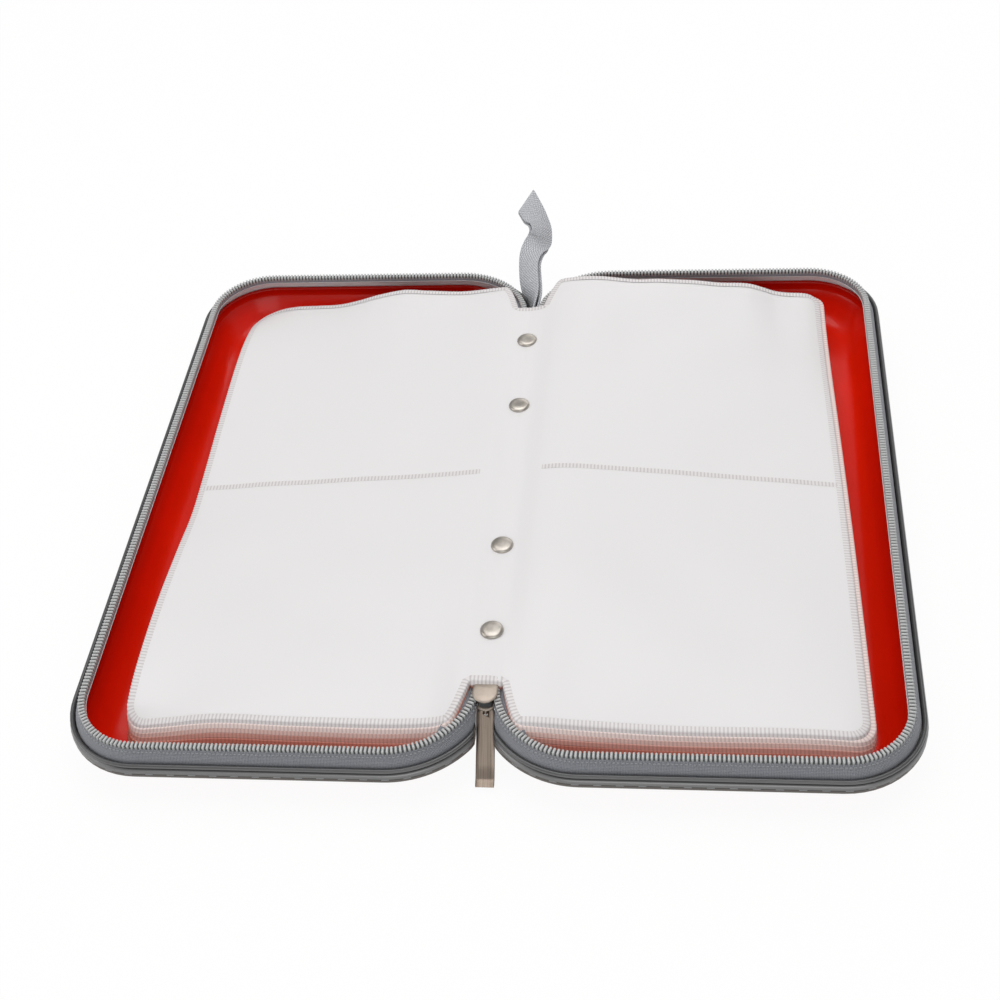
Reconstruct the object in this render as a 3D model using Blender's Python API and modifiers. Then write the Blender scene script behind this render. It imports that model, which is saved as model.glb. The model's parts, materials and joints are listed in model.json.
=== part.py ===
"""Zip-round storage case for compact discs, lying open with its pages and binding in view.

Two moulded trays lie on their backs. A spine web joins them, and each tray folds up about its own edge
of that web. The frame of the model is +Z up, with the table at z = 0 and the spine along Y.
"""

import math

import bmesh
import bpy
from mathutils import Vector

MM = 0.001

# Discs, pockets and pages
disc_diameter = 120.0 * MM
pocket_play = 4.0 * MM
weld_width = 2.5 * MM
binding_half_width = 9.0 * MM
binding_end_inset = 17.5 * MM
page_corner = 9.0 * MM
page_layers = 6
layer_step = 0.8 * MM

# Trays
side_room = 17.0 * MM
end_room = 13.2 * MM
tray_depth = 24.0 * MM
panel_wall = 1.4 * MM
outer_corner_radius = 25.0 * MM
spine_corner_radius = 32.0 * MM
spine_half_gap = 3.5 * MM
notch_closeness = 0.3

# Zipper
tooth_height = 3.0 * MM
tooth_width = 2.2 * MM
tooth_pitch = 3.6 * MM
tape_thickness = 0.5 * MM
frame_outset = 6.4 * MM

# Spine, rivets and their places along the spine
fold_half_width = 5.5 * MM
web_thickness = 0.8 * MM
rivet_head_radius = 4.5 * MM
rivet_head_rise = 1.5 * MM
rivet_foot_radius = 3.6 * MM
rivet_shank_radius = 1.5 * MM
rivet_end_inset = 23.75 * MM
rivet_pair_pitch = 44.5 * MM
binding_thickness = 7.1 * MM
channel_rise = 3.9 * MM

# Slider and pull tab
slider_width = 10.7 * MM
slider_length = 7.6 * MM
slider_plate = 1.1 * MM
pull_length = 28.5 * MM
pull_width = 6.8 * MM
pull_thickness = 1.0 * MM
pull_ring_hole = 0.95 * MM
pull_ring_wall = 1.0 * MM

# Wrist strap
strap_width = 12.0 * MM
strap_thickness = 1.1 * MM
strap_ply_gap = 1.0 * MM

# Clearances
fit_gap = 0.3 * MM

# Sizes that follow
pocket = disc_diameter + pocket_play
page_reach = binding_half_width + pocket + weld_width
page_half_length = pocket + 1.5 * weld_width
chain_reach = page_reach + side_room
chain_half_length = page_half_length + end_room
chain_z = tray_depth
closing_plane = chain_z + tooth_height / 2 + fit_gap / 2
fold_z = closing_plane - fold_half_width
floor_z = panel_wall
spine_corner_y = chain_half_length - spine_corner_radius
outer_corner_y = chain_half_length - outer_corner_radius
corner_x = spine_half_gap + spine_corner_radius
tray_side = fold_half_width + fit_gap
past_wall = tray_side + panel_wall + 2 * fit_gap
binding_half_length = page_half_length - binding_end_inset
web_half_length = binding_half_length - fit_gap
strap_base = binding_half_length + 2 * fit_gap

SPINE_STEPS = 12
OUTER_STEPS = 7
FIRST_OPEN_STEP = 3


def clear_scene():
    for old in list(bpy.data.objects):
        bpy.data.objects.remove(old)


def material(name, colour, roughness, metallic=0.0):
    made = bpy.data.materials.new(name)
    made.use_nodes = True
    shader = made.node_tree.nodes["Principled BSDF"]
    shader.inputs["Base Color"].default_value = (*colour, 1.0)
    shader.inputs["Roughness"].default_value = roughness
    shader.inputs["Metallic"].default_value = metallic
    made.diffuse_color = (*colour, 1.0)
    return made


def add_object(name, mesh, finish, group, smooth_angle=35):
    made = bpy.data.objects.new(name, mesh)
    group.objects.link(made)
    if finish:
        mesh.materials.append(finish)
    mesh.shade_smooth()
    mesh.set_sharp_from_angle(angle=math.radians(smooth_angle))
    return made


def mesh_from(name, shape):
    bmesh.ops.recalc_face_normals(shape, faces=shape.faces)
    mesh = bpy.data.meshes.new(name)
    shape.to_mesh(mesh)
    shape.free()
    return mesh


def loft(rows, closed_rows=False, closed_across=False, capped=False):
    """Quads between rows of points. Each row has as many points as the next."""
    shape = bmesh.new()
    grid = [[shape.verts.new(point) for point in row] for row in rows]
    count = len(grid[0])
    rows_joined = len(grid) if closed_across else len(grid) - 1
    along_joined = count if closed_rows else count - 1
    for i in range(rows_joined):
        here, there = grid[i], grid[(i + 1) % len(grid)]
        for j in range(along_joined):
            k = (j + 1) % count
            shape.faces.new((here[j], here[k], there[k], there[j]))
    if capped and closed_across:
        shape.faces.new([row[0] for row in grid])
        shape.faces.new([row[-1] for row in reversed(grid)])
    elif capped:
        shape.faces.new(grid[0])
        shape.faces.new(list(reversed(grid[-1])))
    return shape


def arc(centre, radii, start, end, steps):
    """Points on an ellipse's arc, both ends kept. Angles are in degrees from +X."""
    points = []
    for step in range(steps + 1):
        angle = math.radians(start + (end - start) * step / steps)
        points.append((centre[0] + radii[0] * math.cos(angle), centre[1] + radii[1] * math.sin(angle)))
    return points


def tray_outline(outset, spine_x, corner_centre_x=None):
    """Right-hand tray seen from above: from the near end of the spine, round the outer side, to the far end."""
    radius = spine_corner_radius + outset
    centre_x = spine_x + radius if corner_centre_x is None else corner_centre_x
    near = arc((centre_x, -spine_corner_y), (centre_x - spine_x, radius), 180, 270, SPINE_STEPS)
    radius = outer_corner_radius + outset
    near += arc((chain_reach - outer_corner_radius, -outer_corner_y), (radius, radius), 270, 360, OUTER_STEPS)
    far = [(x, -y) for x, y in reversed(near)]
    return near + far


def zipper_outline(outset):
    """The same outline for what follows the zipper. It closes up on the spine and starts clear of the slider."""
    if outset > 0:
        spine_x = spine_half_gap - notch_closeness * outset
    else:
        spine_x = spine_half_gap - outset
    return tray_outline(outset, spine_x)[FIRST_OPEN_STEP:-FIRST_OPEN_STEP]


def at_height(outline, z, side):
    return [Vector((side * x, y, z)) for x, y in outline]


def resampled(outline, count):
    """Points spaced evenly along an outline."""
    lengths = [0.0]
    for (ax, ay), (bx, by) in zip(outline, outline[1:]):
        lengths.append(lengths[-1] + math.hypot(bx - ax, by - ay))
    points, part = [], 0
    for step in range(count):
        wanted = lengths[-1] * step / (count - 1)
        while part < len(outline) - 2 and lengths[part + 1] < wanted:
            part += 1
        share = (wanted - lengths[part]) / (lengths[part + 1] - lengths[part])
        (ax, ay), (bx, by) = outline[part], outline[part + 1]
        points.append((ax + (bx - ax) * share, ay + (by - ay) * share))
    return points


def smooth_between(table, x):
    """Height at x from a short list of (x, height) pairs, eased from each to the next."""
    if x <= table[0][0]:
        return table[0][1]
    for (ax, ah), (bx, bh) in zip(table, table[1:]):
        if x <= bx:
            share = (x - ax) / (bx - ax)
            return ah + (bh - ah) * share * share * (3 - 2 * share)
    return table[-1][1]


def joined(target, others, operation="UNION"):
    """Joins or cuts target by each of the others, then removes them."""
    for other in others:
        step = target.modifiers.new("shape", "BOOLEAN")
        step.operation = operation
        step.solver = "EXACT"
        step.object = other
        bpy.context.view_layer.update()
        graph = bpy.context.evaluated_depsgraph_get()
        mesh = bpy.data.meshes.new_from_object(target.evaluated_get(graph))
        target.modifiers.clear()
        target.data = mesh
        bpy.data.objects.remove(other)
    target.data.shade_smooth()
    target.data.set_sharp_from_angle(angle=math.radians(35))
    return target


def box(name, centre, size, group):
    shape = bmesh.new()
    bmesh.ops.create_cube(shape, size=1.0)
    bmesh.ops.scale(shape, vec=size, verts=shape.verts)
    bmesh.ops.translate(shape, vec=centre, verts=shape.verts)
    return add_object(name, mesh_from(name, shape), None, group)


def flat_outline(name, outline, z, thickness, group):
    """A flat plate of the given outline, its underside at z."""
    levels = [[(x, y, level) for x, y in outline] for level in (z, z + thickness)]
    return add_object(name, mesh_from(name, loft(levels, closed_rows=True, capped=True)), None, group)


def turned(name, profile, steps, finish, group):
    """A solid turned about Z from a profile of (radius, height) points that runs from top to bottom."""
    mesh = bpy.data.meshes.new(name)
    mesh.from_pydata([(r, 0.0, z) for r, z in profile], [(i, i + 1) for i in range(len(profile) - 1)], [])
    made = add_object(name, mesh, finish, group)
    screw = made.modifiers.new("turn", "SCREW")
    screw.steps = steps
    screw.render_steps = steps
    screw.use_merge_vertices = True
    screw.merge_threshold = 0.00001
    screw.use_smooth_shade = True
    return made


def tray_panel(name, side, finish, group):
    """Moulded shell: a wall that leans out under the zipper, a rounded dome below the frame and a flat floor."""
    dome = tray_depth - 12.0 * MM
    profile = [
        (0.6 * MM, fold_z - fit_gap / 2),
        (2.5 * MM, chain_z - 6.6 * MM),
        (2.7 * MM, dome),
        (1.9 * MM, dome * 0.6),
        (-1.5 * MM, dome * 0.27),
        (-6.5 * MM, dome * 0.05),
        (-11.0 * MM, 0.0),
    ]
    widest = profile[2][0]
    centre_x = corner_x + (1 - notch_closeness) * widest
    rows = []
    for outset, z in profile:
        inward = max(0.0, widest - outset) if z < dome else 0.0
        rows.append(at_height(tray_outline(outset, tray_side + inward, centre_x), z, side))
    shape = loft(rows, closed_rows=True)
    shape.verts.ensure_lookup_table()
    shape.faces.new(shape.verts[-len(rows[-1]):])
    made = add_object(name, mesh_from(name, shape), finish, group)
    # Recalculated normals may point either way on an open surface, so the wall goes to the inside by a test.
    floor = made.data.polygons[-1]
    wall = made.modifiers.new("wall", "SOLIDIFY")
    wall.thickness = panel_wall
    wall.offset = -1.0 if floor.normal.z < 0 else 1.0
    wall.use_even_offset = True
    return made


def zipper_tape(name, side, finish, group):
    """Woven tape that flares from the teeth down to the frame and tucks in behind it."""
    profile = [(0.0, 1.95 * MM), (3.4 * MM, 4.3 * MM), (3.5 * MM, 8.4 * MM)]
    rows = [at_height(zipper_outline(outset), chain_z - drop, side) for outset, drop in profile]
    made = add_object(name, mesh_from(name, loft(rows)), finish, group)
    thick = made.modifiers.new("thickness", "SOLIDIFY")
    thick.thickness = tape_thickness
    thick.offset = 0.0
    return made


def rim_frame(name, side, finish, group):
    """Ridged frame band that clamps the tape to the panel: an upper ridge, a groove and a stitched lower band."""
    profile = [
        (4.6, 5.0), (5.0, 4.4), (5.7, 4.7), (5.9, 5.6), (5.4, 6.2), (6.1, 6.8),
        (frame_outset / MM, 8.4), (6.1, 10.0), (5.3, 10.8), (3.1, 10.8), (3.1, 9.0), (4.6, 9.0),
    ]
    rows = [at_height(zipper_outline(outset * MM), chain_z - drop * MM, side) for outset, drop in profile]
    shape = loft(rows, closed_across=True, capped=True)
    return add_object(name, mesh_from(name, shape), finish, group, 50)


def zipper_teeth(name, side, finish, group):
    """Row of teeth on their cord. Each tooth stands up towards the other half and is wider than the gap beside it."""
    path = zipper_outline(0.0)
    length = sum(math.dist(a, b) for a, b in zip(path, path[1:]))
    stations = 2 * round(length / tooth_pitch) + 1
    points = resampled(path, stations)
    rows = []
    for i, (x, y) in enumerate(points):
        before, after = points[max(i - 1, 0)], points[min(i + 1, stations - 1)]
        along = Vector((after[0] - before[0], after[1] - before[1])).normalized()
        across = Vector((along.y, -along.x))
        is_tooth = i % 2 == 0
        half = tooth_width / 2 * (1.0 if is_tooth else 0.6)
        top = tooth_height / 2 * (1.0 if is_tooth else 0.35)
        foot = -tooth_height / 2
        section = [(half, foot), (half, top), (-half, top), (-half, foot)]
        rows.append([Vector((side * (x + across.x * n), y + across.y * n, chain_z + z)) for n, z in section])
    return add_object(name, mesh_from(name, loft(rows, closed_rows=True, capped=True)), finish, group, 20)


def page_top(x):
    """Height of the open spread's upper surface. The right-hand pages stand up in a fuller curve than the left."""
    shoulder = binding_half_width + 4 * MM
    left = [(-1.0, -4.2), (-0.89, -3.4), (-0.67, -1.4), (-0.44, 0.6), (-0.22, 2.8)]
    right = [(0.18, 8.0), (0.34, 6.6), (0.59, 3.0), (0.81, -0.4), (1.0, -3.6)]
    middle = [
        (-shoulder, 4.6 * MM), (-fold_half_width, 4.1 * MM), (0.0, channel_rise),
        (fold_half_width, 4.2 * MM), (shoulder, 7.0 * MM),
    ]
    table = [(share * page_reach, rise * MM) for share, rise in left]
    table += middle
    table += [(share * page_reach, rise * MM) for share, rise in right]
    return chain_z + smooth_between(table, x)


def page_underside(x):
    """Height of the stack's underside: level in the binding, then down past the tray's wall to its floor."""
    low = floor_z + 0.5 * MM
    table = [
        (past_wall, chain_z + channel_rise - binding_thickness), (past_wall + 3 * MM, chain_z - 9 * MM),
        (past_wall + 9 * MM, chain_z - 19 * MM), (past_wall + 16 * MM, low + 0.4 * MM),
        (past_wall + 32 * MM, low),
    ]
    return smooth_between(table, abs(x))


def page_end(x):
    """Half length of the pages at x: cut back at the binding, and rounded at the outer corners."""
    shoulder = binding_half_width + 8 * MM
    cut_back = smooth_between([(binding_half_width, binding_end_inset), (shoulder, 0.0)], abs(x))
    into_corner = max(0.0, abs(x) - (page_reach - page_corner))
    rounded = page_corner - math.sqrt(max(0.0, page_corner ** 2 - into_corner ** 2))
    return page_half_length - rounded - cut_back


def page_stack(name, stations, finish, group):
    """Pocket pages as one stack, with its sheets stepped along the near and far edges and a weld across the middle."""
    rows = []
    for x in stations:
        y, high, bottom = page_end(x), page_top(x), page_underside(x)
        sheet = (bottom - high) / (page_layers - 0.2)
        edge = []
        for layer in range(page_layers):
            upper = high + sheet * layer
            lower = high + sheet * (layer + 0.8)
            notch = high + sheet * (layer + 0.9)
            edge += [(y, upper), (y, lower), (y - layer_step, notch)]
        edge = edge[:-1]
        across = [(-0.5 * y, 0.0), (-weld_width, 0.0), (0.0, -0.6 * MM), (weld_width, 0.0), (0.5 * y, 0.0)]
        section = [(-ey, ez) for ey, ez in reversed(edge)]
        section += [(cy, high + dz) for cy, dz in across]
        section += edge
        rows.append([Vector((x, sy, sz)) for sy, sz in section])
    return add_object(name, mesh_from(name, loft(rows, closed_rows=True, capped=True)), finish, group, 30)


def side_stations():
    """Where the pages' sections are taken, from the fold out to the rounded outer edge."""
    inner = [
        fold_half_width + fit_gap / 2, past_wall, past_wall + 3 * MM, binding_half_width + 4.5 * MM,
        binding_half_width + 8 * MM,
    ]
    flat_from, flat_to = inner[-1], page_reach - page_corner
    middle = [flat_from + (flat_to - flat_from) * share for share in (0.07, 0.15, 0.27, 0.42, 0.58, 0.73, 0.87)]
    corner = [page_reach - page_corner * share for share in (1.0, 0.55, 0.22, 0.04)]
    return inner + middle + corner


def rivet_holes(target, group):
    """Cuts the four rivet holes through a bound piece."""
    cutters = []
    radius, depth = rivet_shank_radius + fit_gap, 2 * tray_depth
    for y in rivet_places():
        shape = bmesh.new()
        bmesh.ops.create_cone(shape, cap_ends=True, segments=12, radius1=radius, radius2=radius, depth=depth)
        bmesh.ops.translate(shape, vec=(0, y, chain_z), verts=shape.verts)
        cutters.append(add_object("hole", mesh_from("hole", shape), None, group))
    return joined(target, cutters, "DIFFERENCE")


def rivet_places():
    """Two pairs of rivets, measured from the binding's ends."""
    outer = binding_half_length - rivet_end_inset
    inner = outer - rivet_pair_pitch
    return (-outer, -inner, inner, outer)


def rivet(number, y, finish, group):
    """Two-piece rivet: a domed cap over the pages, and a flanged post that comes up from under the web."""
    seat = chain_z + channel_rise + fit_gap
    socket = rivet_shank_radius + fit_gap
    edge = 0.5 * MM
    cap = [(0.0, seat + rivet_head_rise)]
    for step in range(1, 4):
        share = step / 4
        cap.append((rivet_head_radius * share, seat + edge + (rivet_head_rise - edge) * (1 - share ** 2)))
    cap += [(rivet_head_radius, seat + edge), (rivet_head_radius, seat), (socket, seat), (socket, seat + 0.7 * MM)]
    cap.append((0.0, seat + 0.7 * MM))
    head = turned(f"rivet_cap_{number}", cap, 18, finish, group)
    head.location.y = y

    web_under = fold_z - web_thickness / 2
    foot_top = web_under - fit_gap
    post = [
        (0.0, seat + 0.4 * MM), (rivet_shank_radius, seat + 0.4 * MM), (rivet_shank_radius, foot_top),
        (rivet_foot_radius, foot_top), (rivet_foot_radius, foot_top - 0.6 * MM), (0.0, foot_top - 0.9 * MM),
    ]
    foot = turned(f"rivet_post_{number}", post, 14, finish, group)
    foot.location.y = y


def spine_web(name, finish, group):
    half_width = fold_half_width - fit_gap
    web = box(name, (0, 0, fold_z), (2 * half_width, 2 * web_half_length, web_thickness), group)
    web.data.materials.append(finish)
    return web


def slider_place():
    """Straight back edge of the slider along Y, and the place of the pull tab's ring under it."""
    slider_back = -binding_half_length - 2 * fit_gap
    ring_y = slider_back - slider_length + 0.8 * MM
    ring_z = chain_z - slider_half_height() - pull_ring_hole - 0.65 * MM
    return slider_back, ring_y, ring_z


def slider_half_height():
    return tooth_height / 2 + fit_gap + slider_plate


def slider_outline(back, inset=0.0):
    """D shape: a straight back towards the pages and a round nose towards the notch."""
    half = slider_width / 2 - inset
    straight = slider_length - half
    nose = arc((0.0, back - straight), (half, half - inset), 180, 360, 14)
    return [(-half, back - inset)] + nose + [(half, back - inset)]


def zip_slider(name, finish, group):
    """Two D-shaped plates on a wedge post, with a ring under the outer plate for the pull tab."""
    back, ring_y, ring_z = slider_place()
    half_height = slider_half_height()
    body = flat_outline(name, slider_outline(back), chain_z + half_height - slider_plate, slider_plate, group)
    under = flat_outline("under", slider_outline(back), chain_z - half_height, slider_plate, group)
    wedge = [(-1.6 * MM, back - 0.8 * MM), (0.0, back - 5.6 * MM), (1.6 * MM, back - 0.8 * MM)]
    post = flat_outline("post", wedge, chain_z - half_height + 0.4 * MM, 2 * half_height - 0.8 * MM, group)
    half, inner, outer = 0.8 * MM, pull_ring_hole, pull_ring_hole + pull_ring_wall
    ring_section = [(-half, inner), (-half, outer), (half, outer), (half, inner)]
    ring_rows = []
    for step in range(16):
        angle = 2 * math.pi * step / 16
        out, up = math.cos(angle), math.sin(angle)
        ring_rows.append([Vector((x, ring_y + r * out, ring_z + r * up)) for x, r in ring_section])
    ring_mesh = mesh_from("ring", loft(ring_rows, closed_rows=True, closed_across=True))
    ring = add_object("ring", ring_mesh, None, group)
    slider = joined(body, [under, post, ring])
    slider.data.materials.clear()
    slider.data.materials.append(finish)
    return slider


def pull_tab(name, finish, group):
    """Flat pull that hangs from the slider's ring and rests its turned-down lip on the table."""
    _, ring_y, ring_z = slider_place()
    slot_half = 1.2 * MM
    slot_end = pull_ring_hole + pull_ring_wall + 0.9 * MM
    bar = 0.6 * MM
    neck, tip = 0.42 * pull_width, 0.5 * pull_width
    side = [
        (-bar, neck * 0.9), (slot_end, neck), (pull_length * 0.55, tip * 0.93),
        (pull_length * 0.93, tip), (pull_length, tip * 0.86),
    ]
    outline =[(x, -along) for along, x in side] + [(-x, -along) for along, x in reversed(side)]
    plate = flat_outline(name, outline, -pull_thickness / 2, pull_thickness, group)
    middle = -(bar + slot_end) / 2
    slot = box("slot", (0, middle, 0), (2 * slot_half, slot_end - bar, 4 * pull_thickness), group)
    tab = joined(plate, [slot], "DIFFERENCE")
    tab.data.materials.clear()
    tab.data.materials.append(finish)
    drop = ring_z - pull_thickness / 2 - 0.1 * MM
    tab.location = (0, ring_y, ring_z)
    tab.rotation_euler = (math.asin(drop / pull_length), 0, 0)
    return tab


def smooth_route(route, steps):
    """Evenly split curve through all the points of a route, turn included."""
    last = len(route) - 1
    smooth = []
    for i in range(last):
        before, here, there, after = (Vector(route[min(max(i + k, 0), last)]) for k in (-1, 0, 1, 2))
        slope = (there - before) / 2
        next_slope = (after - here) / 2
        for step in range(steps):
            t = step / steps
            bend = 3 * (there - here) - 2 * slope - next_slope
            twist = 2 * (here - there) + slope + next_slope
            smooth.append(here + slope * t + bend * t ** 2 + twist * t ** 3)
    return smooth + [Vector(route[-1])]


def wrist_strap(name, finish, group):
    """Webbing loop: one ply runs out, turns at the tip and comes back beside the first, twisting as it rises."""
    route = [
        (0.0, 0.0, -7.0, 90), (0.4, 8.0, -6.6, 86), (-0.4, 17.0, -4.6, 68), (-2.2, 26.0, -1.2, 30),
        (-2.2, 35.0, 3.0, -6), (0.6, 45.0, 7.6, -40), (2.6, 53.0, 11.4, -34), (1.0, 60.0, 14.8, -8),
        (-2.0, 67.0, 18.2, 12), (-4.4, 73.0, 21.0, 20),
    ]
    smooth = smooth_route(route, 3)
    points = [Vector((x * MM, strap_base + y * MM, chain_z + z * MM)) for x, y, z, _ in smooth]
    turns = [math.radians(turn) for *_, turn in smooth]
    out, back = [], []
    for i, point in enumerate(points):
        along = (points[min(i + 1, len(points) - 1)] - points[max(i - 1, 0)]).normalized()
        level = along.cross(Vector((0, 0, 1))).normalized()
        up = level.cross(along)
        wide = level * math.cos(turns[i]) + up * math.sin(turns[i])
        thick = along.cross(wide)
        closing = (strap_ply_gap + strap_thickness) / 2
        for offsets, way in ((out, 1), (back, -1)):
            middle = point + thick * closing * way
            offsets.append((middle, wide, thick * way))
    rows = []

    def section(middle, wide, thick):
        half, thin = strap_width / 2, strap_thickness / 2
        return [
            middle - wide * half - thick * thin,
            middle + wide * half - thick * thin,
            middle + wide * half + thick * thin,
            middle - wide * half + thick * thin,
        ]

    for place in out:
        rows.append(section(*place))
    tip, wide, thick = points[-1], out[-1][1], out[-1][2]
    ahead = (points[-1] - points[-2]).normalized()
    reach = (strap_ply_gap + strap_thickness) / 2
    for degrees in (45, 90, 135):
        angle = math.radians(degrees)
        outward = thick * math.cos(angle) + ahead * math.sin(angle)
        rows.append(section(tip + outward * reach, wide, outward))
    for place in reversed(back):
        rows.append(section(*place))
    return add_object(name, mesh_from(name, loft(rows, closed_rows=True, capped=True)), finish, group)


def place_in_frame(case, strap):
    """Parents each cover's pieces to its fold line, and everything to the middle of the table below the case."""
    near = -(chain_half_length + frame_outset)
    far = max(vertex.co.y for vertex in strap.data.vertices)
    middle = bpy.data.objects.new("case_middle", None)
    case.objects.link(middle)
    middle.location.y = -(near + far) / 2
    folds = {}
    for name, side in (("left", -1), ("right", 1)):
        fold = bpy.data.objects.new(f"{name}_cover_fold", None)
        case.objects.link(fold)
        fold.parent = middle
        fold.location = (side * fold_half_width, 0.0, fold_z)
        folds[name] = fold
    for piece in [o for o in case.objects if o.type == "MESH"]:
        fold = folds.get(piece.name.split("_")[0])
        piece.parent = fold or middle
        if fold:
            piece.location = -fold.location
    bpy.context.view_layer.update()


def main():
    clear_scene()
    case = bpy.data.collections.new("disc_storage_case")
    bpy.context.scene.collection.children.link(case)

    red_shell = material("moulded_red_polypropylene", (0.52, 0.012, 0.008), 0.18)
    gray_band = material("gray_moulded_vinyl", (0.13, 0.135, 0.145), 0.35)
    gray_tape = material("gray_woven_tape", (0.17, 0.175, 0.18), 0.85)
    gray_teeth = material("gray_nylon_coil", (0.28, 0.28, 0.29), 0.45)
    page_film = material("clear_film_on_white_felt", (0.86, 0.85, 0.85), 0.4)
    nickel = material("satin_nickel", (0.62, 0.6, 0.57), 0.3, 1.0)
    webbing = material("gray_webbing", (0.25, 0.25, 0.26), 0.9)

    for name, side in (("left", -1), ("right", 1)):
        tray_panel(f"{name}_cover_panel", side, red_shell, case)
        rim_frame(f"{name}_rim_frame", side, gray_band, case)
        zipper_tape(f"{name}_zipper_tape", side, gray_tape, case)
        zipper_teeth(f"{name}_zipper_teeth", side, gray_teeth, case)

    web = spine_web("spine_web", gray_tape, case)
    rivet_holes(web, case)
    stations = side_stations()
    page_stack("left_pages", [-x for x in reversed(stations)], page_film, case)
    page_stack("right_pages", stations, page_film, case)
    bound_half = fold_half_width - fit_gap / 2
    binding = page_stack("page_binding", [-bound_half, 0.0, bound_half], page_film, case)
    rivet_holes(binding, case)
    for number, y in enumerate(rivet_places(), 1):
        rivet(number, y, nickel, case)
    zip_slider("zip_slider", nickel, case)
    pull_tab("pull_tab", nickel, case)
    strap = wrist_strap("wrist_strap", webbing, case)
    place_in_frame(case, strap)


main()
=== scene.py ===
"""Dressed model of an open zip-round disc case: red trays, gray zipper and frame, riveted pocket pages."""

import bisect
import json
import math

import bmesh
import bpy
from mathutils import Matrix, Vector, noise


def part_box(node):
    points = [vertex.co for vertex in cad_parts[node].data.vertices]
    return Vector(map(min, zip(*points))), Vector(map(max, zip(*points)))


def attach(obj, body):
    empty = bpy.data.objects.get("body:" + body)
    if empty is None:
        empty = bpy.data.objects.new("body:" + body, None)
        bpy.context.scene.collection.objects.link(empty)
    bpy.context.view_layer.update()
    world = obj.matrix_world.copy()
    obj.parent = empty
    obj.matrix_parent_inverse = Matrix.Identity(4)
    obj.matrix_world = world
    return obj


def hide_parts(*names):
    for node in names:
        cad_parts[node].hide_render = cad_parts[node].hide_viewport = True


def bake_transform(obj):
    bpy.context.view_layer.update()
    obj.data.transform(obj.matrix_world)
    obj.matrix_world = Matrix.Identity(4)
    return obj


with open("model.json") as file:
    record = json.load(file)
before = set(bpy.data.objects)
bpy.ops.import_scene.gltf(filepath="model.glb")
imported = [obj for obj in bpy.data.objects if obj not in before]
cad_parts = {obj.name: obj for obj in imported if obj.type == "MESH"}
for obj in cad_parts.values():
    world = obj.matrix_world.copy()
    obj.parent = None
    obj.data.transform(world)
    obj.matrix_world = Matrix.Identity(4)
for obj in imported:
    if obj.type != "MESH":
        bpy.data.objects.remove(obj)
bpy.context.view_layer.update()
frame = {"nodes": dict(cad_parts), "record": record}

MM = 0.001
panel_low, panel_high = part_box("left_cover_panel")
teeth_low, teeth_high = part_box("left_zipper_teeth")
MIDDLE_Y = (panel_low.y + panel_high.y) / 2
CHAIN_Z = (teeth_low.z + teeth_high.z) / 2

# Outline of the zipper chain on each tray, in millimetres from the spine's middle
CHAIN_REACH = 152.5
CHAIN_HALF_LENGTH = 140.95
SPINE_RADIUS = 32.0
OUTER_RADIUS = 25.0
SPINE_HALF_GAP = 3.5
# How far a tray's corner at the spine closes up on the chain's, and how near cloth comes to the middle
NOTCH_CLOSENESS = 0.3
NOTCH_CLEAR = 3.6
TRAY_SIDE = 5.8
TRAY_WALL = 1.4
FLOOR = -24.0
SPINE_STEPS, OUTER_STEPS, SIDE_STEPS = 24, 14, 12
TOOTH_PITCH = 1.57

# Pages and binding
PAGE_HALF_LENGTH = 127.75
PAGE_REACH = 135.0
BINDING_HALF_LENGTH = 110.25
RIVETS = (-86.5, -42.0, 42.0, 86.5)
SHEETS = 15
# Sheets that peep out in steps, and the first one that lies deep in the tray
STEPPED_SHEETS = 6
DEEP_SHEET = 6
RIB_PITCH = 1.45
COARSE_PITCH = 2.0
STRAP_START = 110.85

# A wave texture repeats every 0.314 units at scale 1
WAVE_REPEAT = 0.314

SIDES = (("left", -1), ("right", 1))


def at(x, y, z):
    """A place given in millimetres from the middle of the spine, at the height of the zipper chain."""
    return Vector((x * MM, y * MM + MIDDLE_Y, z * MM + CHAIN_Z))


# Materials

def linear(colour):
    """Linear colour of an sRGB hex value."""
    parts = [int(colour[i:i + 2], 16) / 255 for i in (1, 3, 5)]
    return tuple(p / 12.92 if p <= 0.04045 else ((p + 0.055) / 1.055) ** 2.4 for p in parts) + (1.0,)


def add(tree, kind, inputs=None, **settings):
    """Adds a node. A socket among its inputs is linked, any other value is set."""
    made = tree.nodes.new(kind)
    for name, value in settings.items():
        setattr(made, name, value)
    for name, value in (inputs or {}).items():
        if isinstance(value, bpy.types.NodeSocket):
            tree.links.new(value, made.inputs[name])
        else:
            made.inputs[name].default_value = value
    return made


def finish(name, colour, roughness, **sockets):
    """A new material with its Principled shader. Returns the material, its tree and the shader."""
    made = bpy.data.materials.new(name)
    made.use_nodes = True
    tree = made.node_tree
    shader = tree.nodes["Principled BSDF"]
    shader.inputs["Base Color"].default_value = linear(colour)
    shader.inputs["Roughness"].default_value = roughness
    for socket, value in sockets.items():
        shader.inputs[socket.replace("_", " ")].default_value = value
    made.diffuse_color = linear(colour)
    return made, tree, shader


def link(tree, source, node, socket):
    tree.links.new(source, node.inputs[socket])


def ramp(tree, factor, stops):
    """Colour ramp through (place, hex colour) stops."""
    made = add(tree, "ShaderNodeValToRGB", {"Fac": factor})
    band = made.color_ramp
    band.elements[0].position, band.elements[0].color = stops[0][0], linear(stops[0][1])
    band.elements[1].position, band.elements[1].color = stops[-1][0], linear(stops[-1][1])
    for place, colour in stops[1:-1]:
        band.elements.new(place).color = linear(colour)
    return made.outputs["Color"]


def multiplied(tree, colour, shade):
    """One colour darkened by another."""
    mixed = add(tree, "ShaderNodeMix", data_type="RGBA", blend_type="MULTIPLY")
    mixed.inputs[0].default_value = 1.0
    link(tree, colour, mixed, 6)
    link(tree, shade, mixed, 7)
    return mixed.outputs[2]


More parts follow.
